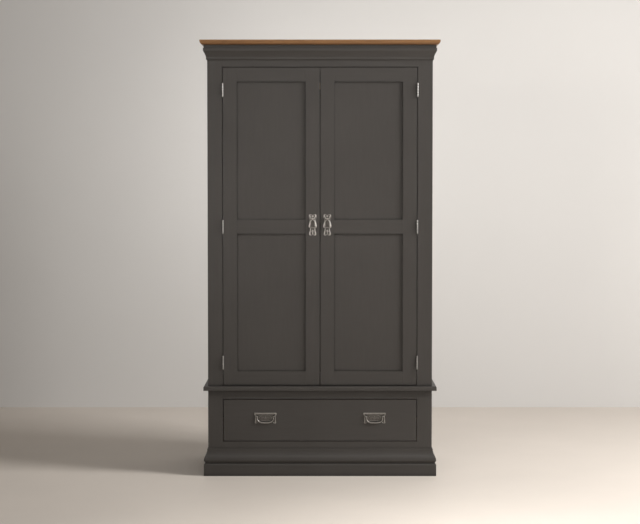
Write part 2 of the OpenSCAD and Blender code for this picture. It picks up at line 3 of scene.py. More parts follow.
import bmesh
import bpy
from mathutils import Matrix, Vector


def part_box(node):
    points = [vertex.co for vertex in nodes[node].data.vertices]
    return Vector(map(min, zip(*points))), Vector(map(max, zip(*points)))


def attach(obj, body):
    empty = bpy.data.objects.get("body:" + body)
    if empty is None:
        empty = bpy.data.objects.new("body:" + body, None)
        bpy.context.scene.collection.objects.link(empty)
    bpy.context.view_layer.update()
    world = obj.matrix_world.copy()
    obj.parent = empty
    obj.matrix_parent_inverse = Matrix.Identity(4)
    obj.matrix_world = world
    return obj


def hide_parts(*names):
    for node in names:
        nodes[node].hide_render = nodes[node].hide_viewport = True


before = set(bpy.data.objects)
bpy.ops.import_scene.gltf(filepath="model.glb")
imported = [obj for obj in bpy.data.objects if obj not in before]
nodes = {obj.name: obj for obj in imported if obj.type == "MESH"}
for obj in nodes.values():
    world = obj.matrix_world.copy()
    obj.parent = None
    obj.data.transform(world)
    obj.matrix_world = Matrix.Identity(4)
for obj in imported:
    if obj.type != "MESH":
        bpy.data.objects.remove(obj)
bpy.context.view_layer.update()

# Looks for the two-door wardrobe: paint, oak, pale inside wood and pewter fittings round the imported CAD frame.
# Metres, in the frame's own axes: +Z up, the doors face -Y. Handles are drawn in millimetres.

MM = 0.001
SAME_PLACE = 0.1 * MM        # two coordinates closer than this are one
scene = bpy.context.scene
scene.view_settings.view_transform = "Standard"


# ---------------------------------------------------------------- shader helpers

MIX_INPUTS = (0, 6, 7)       # a Mix node's factor, first colour and second colour
MIX_OUTPUT = 2               # its mixed colour
INPUT_NAMES = {"color": "Base Color", "roughness": "Roughness", "metallic": "Metallic", "normal": "Normal",
               "specular": "Specular IOR Level"}


class Shader:
    """A material under construction. node() adds a shader node: an input given as a socket is linked, and any
    other value is set."""

    def __init__(self, name):
        self.material = bpy.data.materials.new(name)
        self.material.use_nodes = True
        self.tree = self.material.node_tree
        self.tree.nodes.clear()
        self.output = self.tree.nodes.new("ShaderNodeOutputMaterial")

    def feed(self, socket, value):
        if isinstance(value, bpy.types.NodeSocket):
            self.tree.links.new(value, socket)
        else:
            socket.default_value = value

    def node(self, kind, inputs=None, **settings):
        made = self.tree.nodes.new("ShaderNode" + kind)
        for key, value in settings.items():
            setattr(made, key, value)
        for key, value in (inputs or {}).items():
            self.feed(made.inputs[key], value)
        return made

    def math(self, operation, a, b=0.0, clamp=False):
        return self.node("Math", {0: a, 1: b}, operation=operation, use_clamp=clamp).outputs[0]

    def vector(self, operation, a, b):
        return self.node("VectorMath", {0: a, 1: b}, operation=operation).outputs[0]

    def noise(self, vector, scale, detail=3.0, roughness=0.55, distortion=0.0):
        return self.node("TexNoise", {"Vector": vector, "Scale": scale, "Detail": detail,
                                      "Roughness": roughness, "Distortion": distortion}).outputs["Fac"]

    def ramp(self, factor, low, high, start=0.0, end=1.0):
        """Maps factor from low..high to start..end, held at both ends."""
        return self.node("MapRange", {"Value": factor, "From Min": low, "From Max": high,
                                      "To Min": start, "To Max": end}).outputs[0]

    def mix(self, factor, a, b, blend="MIX"):
        """Colour a turned into colour b by factor."""
        made = self.node("Mix", data_type="RGBA", blend_type=blend)
        for index, value in zip(MIX_INPUTS, (factor, a, b)):
            self.feed(made.inputs[index], (*value, 1.0) if isinstance(value, tuple) else value)
        return made.outputs[MIX_OUTPUT]

    def bump(self, height, strength, distance, normal=None):
        """Normals for that height, of 0 to 1 times distance in metres, on top of normal."""
        inputs = {"Height": height, "Strength": strength, "Distance": distance}
        if normal is not None:
            inputs["Normal"] = normal
        return self.node("Bump", inputs).outputs[0]

    def edges(self, radius, low, high):
        """0 on flats, rising to 1 near edges: low and high are how far normals within radius turn there."""
        soft = self.node("Bevel", {"Radius": radius}, samples=6).outputs[0]
        true = self.node("NewGeometry").outputs["Normal"]
        dot = self.node("VectorMath", {0: soft, 1: true}, operation="DOT_PRODUCT").outputs["Value"]
        return self.ramp(dot, 1.0 - low, 1.0 - high)

    def painted_crevice_shade(self, color, reach, low, high, darkest):
        """color, with painted shade where other surfaces within reach close in on it: darkened by darkest where the
        open air is low or less, and not at all where it is high or more."""
        air = self.node("AmbientOcclusion", {"Distance": reach}, samples=8).outputs["AO"]
        return self.mix(1.0, color, self.ramp(air, low, high, darkest, 1.0), "MULTIPLY")

    def finish(self, **inputs):
        shader = self.node("BsdfPrincipled", {INPUT_NAMES[k]: v for k, v in inputs.items()})
        self.tree.links.new(shader.outputs[0], self.output.inputs[0])
        return self.material


GRAIN = {"x": (0.09, 1.0, 1.0), "y": (1.0, 0.09, 1.0), "z": (1.0, 1.0, 0.09)}    # patterns drawn out along the grain
SHIFT_WAY = (1.37, 0.71, 2.13)


def grain_space(s, axis, shift):
    """Object coordinates, and the same drawn out along the grain and moved by shift so that no two boards match."""
    place = s.node("TexCoord").outputs["Object"]
    moved = s.vector("ADD", place, tuple(shift * way for way in SHIFT_WAY))
    return place, s.vector("MULTIPLY", moved, GRAIN[axis])


# ---------------------------------------------------------------- materials

PAINT_DARK, PAINT_LIGHT = (0.0400, 0.0360, 0.0328), (0.0515, 0.0465, 0.0428)
# painted highlight colour for the paint's edges
PAINT_EDGE_SHEEN = (0.100, 0.093, 0.086)
OAK_LIGHT, OAK_DARK, OAK_PORE = (0.305, 0.158, 0.064), (0.165, 0.073, 0.025), (0.065, 0.030, 0.011)
OAK_STAVE = 0.1              # width of the oak top's glued strips
PALE_LIGHT, PALE_DARK, PALE_PORE = (0.66, 0.50, 0.32), (0.44, 0.285, 0.15), (0.30, 0.18, 0.09)
NICKEL_DARK, NICKEL_LIGHT = (0.27, 0.262, 0.25), (0.36, 0.352, 0.34)
PLASTIC_DARK, PLASTIC_LIGHT = (0.055, 0.030, 0.018), (0.085, 0.050, 0.030)
MIDDLE = (0.3, 0.7)          # the range that most of a noise lies in


def paint(name, axis, shift):
    """Satin charcoal paint, brushed along the board, with the wood's grain just telling through it."""
    s = Shader(name)
    place, along = grain_space(s, axis, shift)
    cloud = s.noise(place, 3.1, 2.0)
    brush = s.noise(along, 420.0, 2.0, 0.6)
    grain = s.noise(along, 90.0, 4.0, 0.62, 0.6)
    speckle = s.noise(place, 1500.0, 1.0)
    edge_wear_and_sheen = s.edges(radius=0.0012, low=0.04, high=0.35)
    tone = s.math("ADD", s.ramp(cloud, *MIDDLE, -0.5, 0.5), s.ramp(grain, *MIDDLE, -0.45, 0.45))
    color = s.mix(s.ramp(tone, -1.0, 1.0), PAINT_DARK, PAINT_LIGHT)
    # painted highlight: the paint's colour turns lighter along its edges, as if they caught the light
    color = s.mix(s.math("MULTIPLY", edge_wear_and_sheen, 0.45), color, PAINT_EDGE_SHEEN)
    # painted shade: the paint darkens in crevices, recesses and under the mouldings, where shadow falls
    color = s.painted_crevice_shade(color, reach=0.035, low=0.50, high=0.72, darkest=0.34)
    rough = s.math("ADD", s.ramp(brush, *MIDDLE, 0.40, 0.50), s.math("MULTIPLY", edge_wear_and_sheen, -0.07))
    height = s.math("ADD", s.math("MULTIPLY", grain, 0.7), s.math("MULTIPLY", brush, 0.3))
    normal = s.bump(height, strength=0.35, distance=0.00022)
    normal = s.bump(speckle, strength=0.10, distance=0.00006, normal=normal)
    return s.finish(color=color, roughness=rough, normal=normal, specular=0.42)


def wood(name, axis, light, dark, pore, stave=0.0, shift=0.0):
    """Lacquered wood: broad figure, fine streaks and open pores along the grain; stave is the width of its glued
    strips, or 0 for one board."""
    s = Shader(name)
    place, along = grain_space(s, axis, shift)
    tint = 0.11
    if stave:
        across = s.node("SeparateXYZ", {0: place}).outputs["Y" if axis == "x" else "X"]
        strip = s.math("FLOOR", s.math("DIVIDE", across, stave))
        cell = s.node("TexWhiteNoise", {"W": strip}, noise_dimensions="1D")
        along = s.vector("ADD", along, s.vector("MULTIPLY", cell.outputs["Color"], (3.0, 3.0, 3.0)))
        tint = s.math("MULTIPLY", cell.outputs["Value"], 0.22)
    warp = s.noise(along, 7.0, 3.0)
    figure = s.noise(along, 24.0, 5.0, 0.6, 1.4)
    bands = s.math("SINE", s.math("MULTIPLY", s.math("ADD", figure, s.math("MULTIPLY", warp, 1.6)), 46.0))
    streak = s.noise(along, 260.0, 3.0, 0.6)
    pores = s.ramp(s.noise(s.vector("MULTIPLY", along, GRAIN[axis]), 620.0, 1.0), 0.60, 0.70)
    tone = s.math("ADD", s.math("MULTIPLY", s.ramp(bands, -1.0, 1.0), 0.34), s.math("MULTIPLY", streak, 0.46))
    tone = s.math("ADD", tone, tint)
    color = s.mix(tone, light, dark)
    color = s.mix(s.math("MULTIPLY", pores, 0.55), color, pore)
    # painted shade: the wood darkens in crevices and under overhangs, such as the oak top's rounded underside
    color = s.painted_crevice_shade(color, reach=0.05, low=0.50, high=0.95, darkest=0.35)
    rough = s.ramp(streak, *MIDDLE, 0.31, 0.42)
    height = s.math("SUBTRACT", s.math("MULTIPLY", streak, 0.4), pores)
    normal = s.bump(height, strength=0.30, distance=0.00018)
    return s.finish(color=color, roughness=rough, normal=normal, specular=0.45)


def cast_metal(name, bright, patina, rough):
    """Cast metal with a dark patina in its hollows and painted shade where other parts hang close in front, rubbed
    bright on its edges, lightly dimpled.
    """
    s = Shader(name)
    place = s.node("TexCoord").outputs["Object"]
    cloud = s.noise(place, 130.0, 4.0, 0.6)
    dimple = s.node("TexVoronoi", {"Vector": place, "Scale": 430.0}).outputs["Distance"]
    edge_wear_and_sheen = s.edges(radius=0.0009, low=0.01, high=0.22)
    # darker within 6 mm of other surfaces: patina in the metal's own hollows, and painted shade behind the drop hanging
    # in front of the plate
    open_air = s.node("AmbientOcclusion", {"Distance": 0.006}, samples=8).outputs["AO"]
    wear_and_shade = s.math("MULTIPLY", s.ramp(open_air, 0.55, 0.98), s.ramp(cloud, 0.25, 0.7, 0.55, 1.0))
    wear_and_shade = s.math("ADD", wear_and_shade, s.math("MULTIPLY", edge_wear_and_sheen, 0.55), clamp=True)
    color = s.mix(wear_and_shade, patina, bright)
    roughness = s.ramp(wear_and_shade, 0.0, 1.0, rough + 0.22, rough)
    normal = s.bump(dimple, strength=0.28, distance=0.00035)
    normal = s.bump(cloud, strength=0.12, distance=0.0002, normal=normal)
    return s.finish(color=color, roughness=roughness, normal=normal, metallic=0.92)


def plated_steel(name):
    """Satin nickel plate, finely brushed along the hinge."""
    s = Shader(name)
    place, along = grain_space(s, "z", 0.0)
    brush = s.noise(along, 1800.0, 2.0)
    cloud = s.noise(place, 60.0, 3.0)
    color = s.mix(cloud, NICKEL_DARK, NICKEL_LIGHT)
    normal = s.bump(brush, strength=0.15, distance=0.00008)
    return s.finish(color=color, roughness=s.ramp(brush, *MIDDLE, 0.36, 0.48), normal=normal, metallic=1.0)


def moulded_plastic(name):
    """Brown plastic with a fine moulded texture."""
    s = Shader(name)
    place = s.node("TexCoord").outputs["Object"]
    fine = s.noise(place, 1600.0, 2.0)
    color = s.mix(s.noise(place, 90.0), PLASTIC_DARK, PLASTIC_LIGHT)
    normal = s.bump(fine, strength=0.1, distance=0.0001)
    return s.finish(color=color, roughness=s.ramp(fine, *MIDDLE, 0.42, 0.55), normal=normal)


def plain_surface(name, color, spread, scale, rough):
    """Floor or wall: one pale colour, very slightly mottled."""
    s = Shader(name)
    place = s.node("TexCoord").outputs["Object"]
    cloud = s.noise(place, scale, 4.0, 0.6)
    darker = tuple(c * (1.0 - spread) for c in color)
    normal = s.bump(s.noise(place, scale * 30.0), strength=0.05, distance=0.001)
    return s.finish(color=s.mix(s.ramp(cloud, *MIDDLE), darker, color), roughness=rough, normal=normal, specular=0.3)


# ---------------------------------------------------------------- CAD nodes: soft edges and materials

WELD = 0.01 * MM
SHARP = math.radians(38)     # edges that turn more than this are eased


def dress(node, material, edge, segments=2):
    """Gives a CAD node its material and eases its sharp edges by that many millimetres, as a maker would."""
    obj = nodes[node]
    obj.data.materials.clear()
    obj.data.materials.append(material)
    weld = obj.modifiers.new("weld", "WELD")
    weld.merge_threshold = WELD
    bevel = obj.modifiers.new("ease", "BEVEL")
    bevel.width, bevel.segments = edge * MM, segments
    bevel.limit_method, bevel.angle_limit = "ANGLE", SHARP
    bevel.harden_normals = True
    bevel.use_clamp_overlap = True


PAINTED = {
    "x": ["plinth_front", "base_moulding_front", "waist_moulding_front", "cornice_front", "frame_top_rail",
          "frame_middle_rail", "frame_bottom_rail", "cabinet_floor", "ceiling_panel", "door_stop", "drawer_front"]
         + [f"{side}_{rail}_rail" for side in ("left", "right") for rail in ("top", "middle", "bottom")],
    "y": ["plinth_returns", "base_moulding_returns", "waist_moulding_returns", "cornice_returns"],
    "z": ["side_left", "side_right", "frame_stile_left", "frame_stile_right", "back_panel"]
         + [f"{side}_{part}" for side in ("left", "right")
            for part in ("hinge_stile", "meeting_stile", "upper_panel", "lower_panel")],
}
PAINT_SHIFT, PALE_SHIFT = 0.31, 0.43     # from one board's figure to the next one's
for axis, group in PAINTED.items():
    for number, node in enumerate(group, start=1):
        dress(node, paint("paint_" + node, axis, PAINT_SHIFT * number), edge=0.7)


def round_corner(node, width):
    """Rounds a face frame stile's outer front corner by that many millimetres, before its edges are eased."""
    obj = nodes[node]
    low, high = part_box(node)
    outside = max(abs(low.x), abs(high.x))
    corner = obj.vertex_groups.new(name="corner")
    corner.add([v.index for v in obj.data.vertices
                if abs(abs(v.co.x) - outside) < SAME_PLACE and abs(v.co.y - low.y) < SAME_PLACE], 1.0, "REPLACE")
    bevel = obj.modifiers.new("corner", "BEVEL")
    bevel.width, bevel.segments = width * MM, 4
    bevel.limit_method, bevel.vertex_group = "VGROUP", "corner"
    bevel.harden_normals = True
    obj.modifiers.move(len(obj.modifiers) - 1, 1)


for node in ("frame_stile_left", "frame_stile_right"):
    round_corner(node, 2.8)

dress("oak_top", wood("oak", "x", OAK_LIGHT, OAK_DARK, OAK_PORE, stave=OAK_STAVE), edge=0.8, segments=3)

for number, (node, axis) in enumerate((("hanging_rail", "x"), ("rail_sockets", "z"), ("drawer_runners", "y"),
                                       ("drawer_kickers", "y"), ("drawer_side_left", "y"),
                                       ("drawer_side_right", "y"), ("drawer_back", "x"), ("drawer_bottom", "x"))):
    dress(node, wood("pale_" + node, axis, PALE_LIGHT, PALE_DARK, PALE_PORE, shift=PALE_SHIFT * number), edge=0.6)

steel = plated_steel("satin_nickel")
for node in ("frame_hinge_leaves", "left_hinge_leaves", "right_hinge_leaves", "hinge_pins", "frame_hinge_screws",
             "left_hinge_screws", "right_hinge_screws", "left_strike_plate", "right_strike_plate"):
    dress(node, steel, edge=0.3)
dress("magnetic_catches", moulded_plastic("brown_plastic"), edge=0.4)

pewter = cast_metal("antique_pewter", (0.56, 0.535, 0.505), (0.050, 0.045, 0.040), 0.30)
pewter_field = cast_metal("pewter_field", (0.150, 0.140, 0.130), (0.028, 0.025, 0.022), 0.42)
pewter_dull = cast_metal("pewter_dull", (0.270, 0.255, 0.238), (0.040, 0.036, 0.032), 0.36)
# painted shade: a darker copy of the pewter for the drawer's handles, which sit lower, in dimmer light
pewter_drawer_shaded = cast_metal("pewter_drawer_shaded", (0.390, 0.372, 0.350), (0.044, 0.040, 0.035), 0.33)


# ---------------------------------------------------------------- mesh tools

def smooth(points, steps=6):
    """Catmull-Rom curve through points of two to four numbers each, with that many steps from one to the next."""
    points = [Vector(p) for p in points]
    last = len(points) - 1
    curve = []
    for i in range(last):
        a, b, c, d = (points[min(max(k, 0), last)] for k in range(i - 1, i + 3))
        for step in range(steps):
            t = step / steps
            curve.append(0.5 * (2 * b + (c - a) * t + (2 * a - 5 * b + 4 * c - d) * t * t
                                + (3 * b - a - 3 * c + d) * t ** 3))
    curve.append(points[-1])
    return curve


def inset(outline, distance):
    """A closed outline, drawn anticlockwise, moved inwards by distance at every point."""
    moved = []
    count = len(outline)
    for i, point in enumerate(outline):
        along = Vector(outline[(i + 1) % count]).to_2d() - Vector(outline[i - 1]).to_2d()
        along.normalize()
        moved.append(Vector((point[0] - along.y * distance, point[1] + along.x * distance)))
    return moved


ON_MIDLINE = 0.01            # millimetres


def mirrored(right):
    """The closed anticlockwise outline whose right half, from the bottom up, is given. Points on the midline aren't
    repeated."""
    right = [Vector(p).to_2d() for p in right]
    left = [Vector((-p.x, p.y)) for p in reversed(right)]
    return [p for i, p in enumerate(right + left) if not (i >= len(right) and abs(p.x) < ON_MIDLINE)]


SMOOTH = math.radians(48)    # edges of the handles that turn more than this stay crisp
ROD_SIDES = 14
END_ANGLES = (0.5, 0.95, 1.35)    # radians round a rod's end at which it has a ring of vertices
END_LENGTH = 0.8             # length of that end over the rod's radius
SLOT_HALF = 0.13             # half the width of a screw's slot over the head's radius
SLOT_DEPTH = 0.45
MOST_CORNERS = 100000        # more than any piece has


def corner_order(face):
    """A number that tells a face from every other face of its mesh, by its first three corners."""
    a, b, c = sorted(vert.index for vert in face.verts)[:3]
    return (a * MOST_CORNERS + b) * MOST_CORNERS + c


class Piece:
    """A mesh under construction, in millimetres: u to the right, v up, w forwards from the surface it's fixed to."""

    def __init__(self, name, x, z):
        self.name = name
        self.origin = Vector((x, front_y, z))
        self.bm = bmesh.new()
        self.tone = 0        # material index of the faces made next

    def face(self, ring):
        self.bm.faces.new(ring).material_index = self.tone

    def vert(self, u, v, w):
        return self.bm.verts.new(self.origin + Vector((u, -w, v)) * MM)

    def ring(self, points):
        return [self.vert(*p) for p in points]

    def skin(self, rings):
        """Quads between one ring of vertices and the next."""
        for a, b in zip(rings, rings[1:]):
            count = len(a)
            for i in range(count):
                j = (i + 1) % count
                self.face((a[i], a[j], b[j], b[i]))

    def cap(self, ring, flip=False):
        self.face(list(reversed(ring)) if flip else ring)

    def plate(self, outline, back, profile):
        """A plate with that outline; profile lists (inset, w) from its outer edge to the flat field, which takes
        material 1."""
        rings = [self.ring([(p.x, p.y, back) for p in outline])]
        for distance, w in profile:
            rings.append(self.ring([(p.x, p.y, w) for p in inset(outline, distance)]))
        self.skin(rings[:-1])
        self.cap(rings[0], flip=True)
        self.tone = 1
        self.skin(rings[-2:])
        self.cap(rings[-1])
        self.tone = 0

    def slab(self, outline, low, high, edge):
        """A block across u from low to high with a (w, v) outline and rounded edges."""
        rings = []
        for u, distance in ((low, edge), (low + edge * 0.3, edge * 0.3), (low + edge, 0.0),
                            (high - edge, 0.0), (high - edge * 0.3, edge * 0.3), (high, edge)):
            rings.append(self.ring([(u, p.y, p.x) for p in inset(outline, distance)]))
        self.skin(rings)
        self.cap(rings[0], flip=True)
        self.cap(rings[-1])

    def rod(self, path, sides=ROD_SIDES, flat=1.0):
        """A round or flattened bar along (u, v, w, radius) points, with rounded ends; flat is its depth over its
        width."""
        path = [Vector(p) for p in path]
        place = [p.to_3d() for p in path]
        last = len(path) - 1
        stations = []
        for i, p in enumerate(path):
            along = (place[min(i + 1, last)] - place[max(i - 1, 0)]).normalized()
            stations.append((place[i], along, p.w))
        for end, sign in ((0, -1), (last, 1)):
            centre, along, radius = stations[-1 if sign > 0 else 0]
            rounds = [(centre + along * sign * radius * math.sin(a) * END_LENGTH, along, radius * math.cos(a))
                      for a in END_ANGLES]
            stations = stations + rounds if sign > 0 else rounds[::-1] + stations
        rings = []
        for centre, along, radius in stations:
            depth = Vector((0.0, 0.0, 1.0))
            if abs(along.z) > 0.95:
                depth = Vector((0.0, 1.0, 0.0))
            across = along.cross(depth).normalized()
            depth = across.cross(along).normalized()
            rings.append(self.ring([centre + across * (radius * math.cos(a)) + depth * (radius * flat * math.sin(a))
                                    for a in (math.tau * k / sides for k in range(sides))]))
        self.skin(rings)
        self.cap(rings[0], flip=True)
        self.cap(rings[-1])

    def rib(self, points, flat, centre=0.0, hand=1, steps=6):
        """A rod on a smooth curve through the points, drawn about u = centre, and mirrored there if hand is -1."""
        self.rod(smooth([(centre + hand * u, v, w, radius) for u, v, w, radius in points], steps), flat=flat)

    def dome(self, u, v, profile, sides):
        """A turned boss about the w direction; profile lists (radius, w) from the outside in, and ends at a pole."""
        rings = [self.ring([(u + r * math.cos(a), v + r * math.sin(a), w)
                            for a in (math.tau * k / sides for k in range(sides))]) for r, w in profile[:-1]]
        self.skin(rings)
        self.cap(rings[0], flip=True)
        pole = self.vert(u, v, profile[-1][1])
        for i in range(sides):
            self.face((rings[-1][i], rings[-1][(i + 1) % sides], pole))

    def screw_head(self, u, v, w, radius, turn):
        """A round screw head on the surface at w, with a slot turned by that many radians."""
        before = set(self.bm.faces)
        self.dome(u, v, [(radius, w - 0.4), (radius, w + 0.1), (radius * 0.86, w + 0.5), (radius * 0.55, w + 0.75),
                         (0.0, w + 0.85)], sides=18)
        head = [f for f in self.bm.faces if f not in before]
        centre = self.origin + Vector((u, -w, v)) * MM
        across = Vector((math.cos(turn), 0.0, math.sin(turn)))
        half = radius * SLOT_HALF * MM
        for side in (-1, 1):
            # dict.fromkeys drops repeats and keeps the order
            edges = dict.fromkeys(e for f in head for e in f.edges)
            verts = dict.fromkeys(x for f in head for x in f.verts)
            geometry = head + list(edges) + list(verts)
            bmesh.ops.bisect_plane(self.bm, geom=geometry, plane_co=centre + across * half * side, plane_no=across)
            head = [f for f in self.bm.faces if f not in before]
        self.bm.normal_update()
        slot = [f for f in head if abs((f.calc_center_median() - centre).dot(across)) < half * 0.9
                and f.calc_center_median().y < centre.y - 0.05 * MM and abs(f.normal.y) > 0.5]
        made = bmesh.ops.extrude_face_region(self.bm, geom=slot)
        bmesh.ops.delete(self.bm, geom=[f for f in slot if f.is_valid], context="FACES")
        bmesh.ops.translate(self.bm, vec=(0.0, SLOT_DEPTH * MM, 0.0),
                            verts=[x for x in made["geom"] if isinstance(x, bmesh.types.BMVert)])

    def done(self, materials, body, slot, *stands_for):
        """Turns the mesh into an object that rides on body and stands for those CAD nodes."""
        # cutting the screws' slots leaves their faces in no fixed order, so all are put in the order of their corners
        self.bm.verts.index_update()
        self.bm.faces.sort(key=corner_order)
        bmesh.ops.recalc_face_normals(self.bm, faces=self.bm.faces)
        for face in self.bm.faces:
            face.smooth = True
        mesh = bpy.data.meshes.new(self.name)
        self.bm.to_mesh(mesh)
        self.bm.free()
        for each in materials:
            mesh.materials.append(each)
        mesh.set_sharp_from_angle(angle=SMOOTH)
        obj = bpy.data.objects.new(self.name, mesh)
        scene.collection.objects.link(obj)
        normals = obj.modifiers.new("normals", "WEIGHTED_NORMAL")
        normals.keep_sharp = True
        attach(obj, body)
        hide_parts(*stands_for)


def spiral(u, v, w, outer, inner, start, turn, thick, thin, hand, steps=22):
    """Points of a scroll that winds in from outer to inner radius; hand is -1 for its mirror image."""
    points = []
    for i in range(steps + 1):
        t = i / steps
        radius = outer + (inner - outer) * t ** 0.8
        a = start + turn * t
        points.append((u + hand * radius * math.cos(a), v + radius * math.sin(a), w, thick + (thin - thick) * t))
    return points


# ---------------------------------------------------------------- door handles

front_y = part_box("frame_top_rail")[0].y
SIDES = ((-1, "left"), (1, "right"))
PULL_Z = 1.122               # height of the door handles' centre, in metres
PULL_PIVOT = 28.0            # the drop's pin above that centre
PULL_AXIS = 6.0              # the pin's distance in front of the door

# right half of the plate's outline, from the bottom up
PULL_HALF = [(0, -45), (3.4, -44.6), (5.2, -46.2), (9.5, -47.6), (14.4, -45.4), (15.9, -40.5), (14.8, -34),
             (12.6, -27), (11.6, -18), (11.0, -6), (11.2, 6), (12.4, 16), (13.6, 24), (15.3, 31), (16.9, 38),
             (15.6, 44.4), (11.6, 47.4), (7.4, 46.2), (4.2, 44.6), (0, 44.0)]
PULL_RIM = [(0.0, 1.4), (0.25, 2.05), (0.8, 2.4), (1.5, 2.3), (2.0, 1.7), (2.4, 1.0)]
# relief, as (u, v, w, radius) points and flatness: a ribbon from an upper corner to the ears, one from the ears down
# the flank, and the rib of the flared foot, which thickens into its outer lobe
PULL_RIBS = [
    ([(13.4, 42.5, 1.6, 2.0), (11.2, 36, 1.7, 1.9), (7.6, 30.5, 1.7, 1.6), (4.2, 25, 1.5, 1.2)], 0.42),
    ([(4.0, 22.5, 1.2, 1.0), (7.5, 13, 1.3, 1.1), (9.2, 0, 1.3, 1.2), (9.6, -14, 1.4, 1.4), (9.4, -23, 1.5, 1.7)], 0.5),
    ([(10.0, -20, 1.4, 1.5), (11.0, -30, 1.6, 1.9), (12.2, -38, 1.6, 2.3), (10.6, -43.6, 1.5, 1.9)], 0.4),
]
PULL_SPINE = [(0, -22, 1.1, 0.9), (0, -29, 1.4, 1.6), (0, -41.5, 1.3, 1.2)]
PULL_BOSS = [(4.3, 0.6), (4.3, 1.6), (3.9, 2.1), (3.3, 2.2), (0.0, 2.2)]
BOSS_V, LOWER_SCREW_V = 37.6, -36.5
# the drop: one side of its loop from the pin down, its grip, and the lip in front of the grip
DROP_HALF = [(1.2, 24.6, 6.0, 2.3), (4.9, 21.2, 6.0, 2.1), (9.2, 17.6, 6.0, 2.1), (11.6, 11.5, 6.0, 2.7),
             (13.2, 4.0, 6.0, 3.1), (14.7, -3.5, 6.1, 3.3), (14.9, -8.4, 6.6, 2.9), (11.2, -10.6, 7.6, 2.5)]
DROP_GRIP = [(-6.0, -10.9, 8.7, 2.3), (0.0, -11.0, 9.1, 2.3), (6.0, -10.9, 8.7, 2.3)]
DROP_LIP = [(-10.5, -11.8, 8.6, 1.3), (-5.5, -12.1, 10.6, 1.35), (0.0, -12.2, 11.2, 1.35), (5.5, -12.1, 10.6, 1.35),
            (10.5, -11.8, 8.6, 1.3)]


def ear(pivot, axis, foot, shoulder, radius):
    """The (w, v) outline of an ear that carries a pin at (axis, pivot), with a nose of that radius about the pin;
    foot and shoulder are (w, half the ear's height there)."""
    nose = [(axis + radius * math.cos(a), radius * math.sin(a)) for a in (math.pi * (k / 8 - 0.5) for k in range(9))]
    below = [(foot[0], -foot[1]), (shoulder[0], -shoulder[1])]
    return [Vector((w, v + pivot)) for w, v in below + nose + [shoulder, foot]]


def door_handle(side, name):
    plate_low, plate_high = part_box(name + "_handle_plate")
    centre_x = (plate_low.x + plate_high.x) / 2
    plate = Piece(name + "_pull_plate", centre_x, PULL_Z)
    # the curve starts and ends one point beyond the middle, so that it crosses the middle without a kink
    beyond = [(-u, v) for u, v in (PULL_HALF[1], PULL_HALF[-2])]
    right = smooth([beyond[0], *PULL_HALF, beyond[1]], 4)[4:-4]
    plate.plate(mirrored(right), 0.0, PULL_RIM)
    for hand in (-1, 1):
        for points, flat in PULL_RIBS:
            plate.rib(points, flat, hand=hand)
        plate.rod(spiral(4.1 * hand, -29, 1.2, outer=3.6, inner=0.9, start=2.2, turn=-5.2, thick=0.9, thin=0.5,
                         hand=hand), flat=0.7)
    plate.rib(PULL_SPINE, 0.6)
    plate.dome(0, BOSS_V, PULL_BOSS, sides=20)
    plate.screw_head(0, BOSS_V, 1.65, radius=2.9, turn=0.5 * side)
    plate.screw_head(0, LOWER_SCREW_V, 1.65, radius=2.3, turn=1.1 * side)
    outline = ear(PULL_PIVOT, PULL_AXIS, foot=(0.6, 4.0), shoulder=(4.4, 3.9), radius=2.9)
    for low, high in ((6.0, 10.0), (-10.0, -6.0)):
        plate.slab(outline, low, high, edge=0.7)
    plate.done([pewter, pewter_field], name + "_door", "pewter", name + "_handle_plate")

    drop = Piece(name + "_pull_drop", centre_x, PULL_Z)
    for half, radius, sides in ((9.0, 1.45, 16), (3.6, 2.8, 20)):      # the pin, and the barrel on it
        drop.rod([(u, PULL_PIVOT, PULL_AXIS, radius) for u in (-half, half)], sides=sides)
    for hand in (1, -1):
        drop.rod(smooth([(hand * u, v, w, radius) for u, v, w, radius in DROP_HALF], 5), sides=16, flat=0.62)
    # painted shade: the grip and its lip take the duller pewter, darker as they face down
    drop.tone = 1
    u, v, w, radius = DROP_HALF[-1]
    drop.rod(smooth([(-u, v, w, radius), *DROP_GRIP, (u, v, w, radius)]), sides=16)
    drop.rod(smooth(DROP_LIP), sides=12)
    drop.done([pewter, pewter_dull], name + "_drop", "pewter", name + "_drop_handle")


for side, name in SIDES:
    door_handle(side, name)


# ---------------------------------------------------------------- drawer handles

BAIL_Z = 0.258               # height of the drawer handles' centre, in metres
BAIL_X = 0.244               # their distance from the middle of the drawer, in metres
BAIL_PIVOT = 8.0             # the bail's pins above that centre
BAIL_AXIS = 6.5              # the pins' distance in front of the drawer

# right half of the plate's outline, from the bottom up
BAIL_HALF = [(0, -13.2), (12, -13.6), (24, -15.4), (33, -19), (37.2, -23.2), (42, -24.4), (46.6, -23.6), (48, -20.6),
             (47.0, -14), (46.2, -4), (46.5, 6), (48.4, 12.6), (50.2, 16.6), (50.3, 20.6), (49.8, 23.4), (46.5, 24.3),
             (34, 24.2), (17, 24.2), (0, 24.2)]
BAIL_RIM = [(0.0, 1.1), (0.3, 1.7), (0.9, 2.0), (1.6, 1.8), (2.1, 1.2), (2.5, 0.7)]
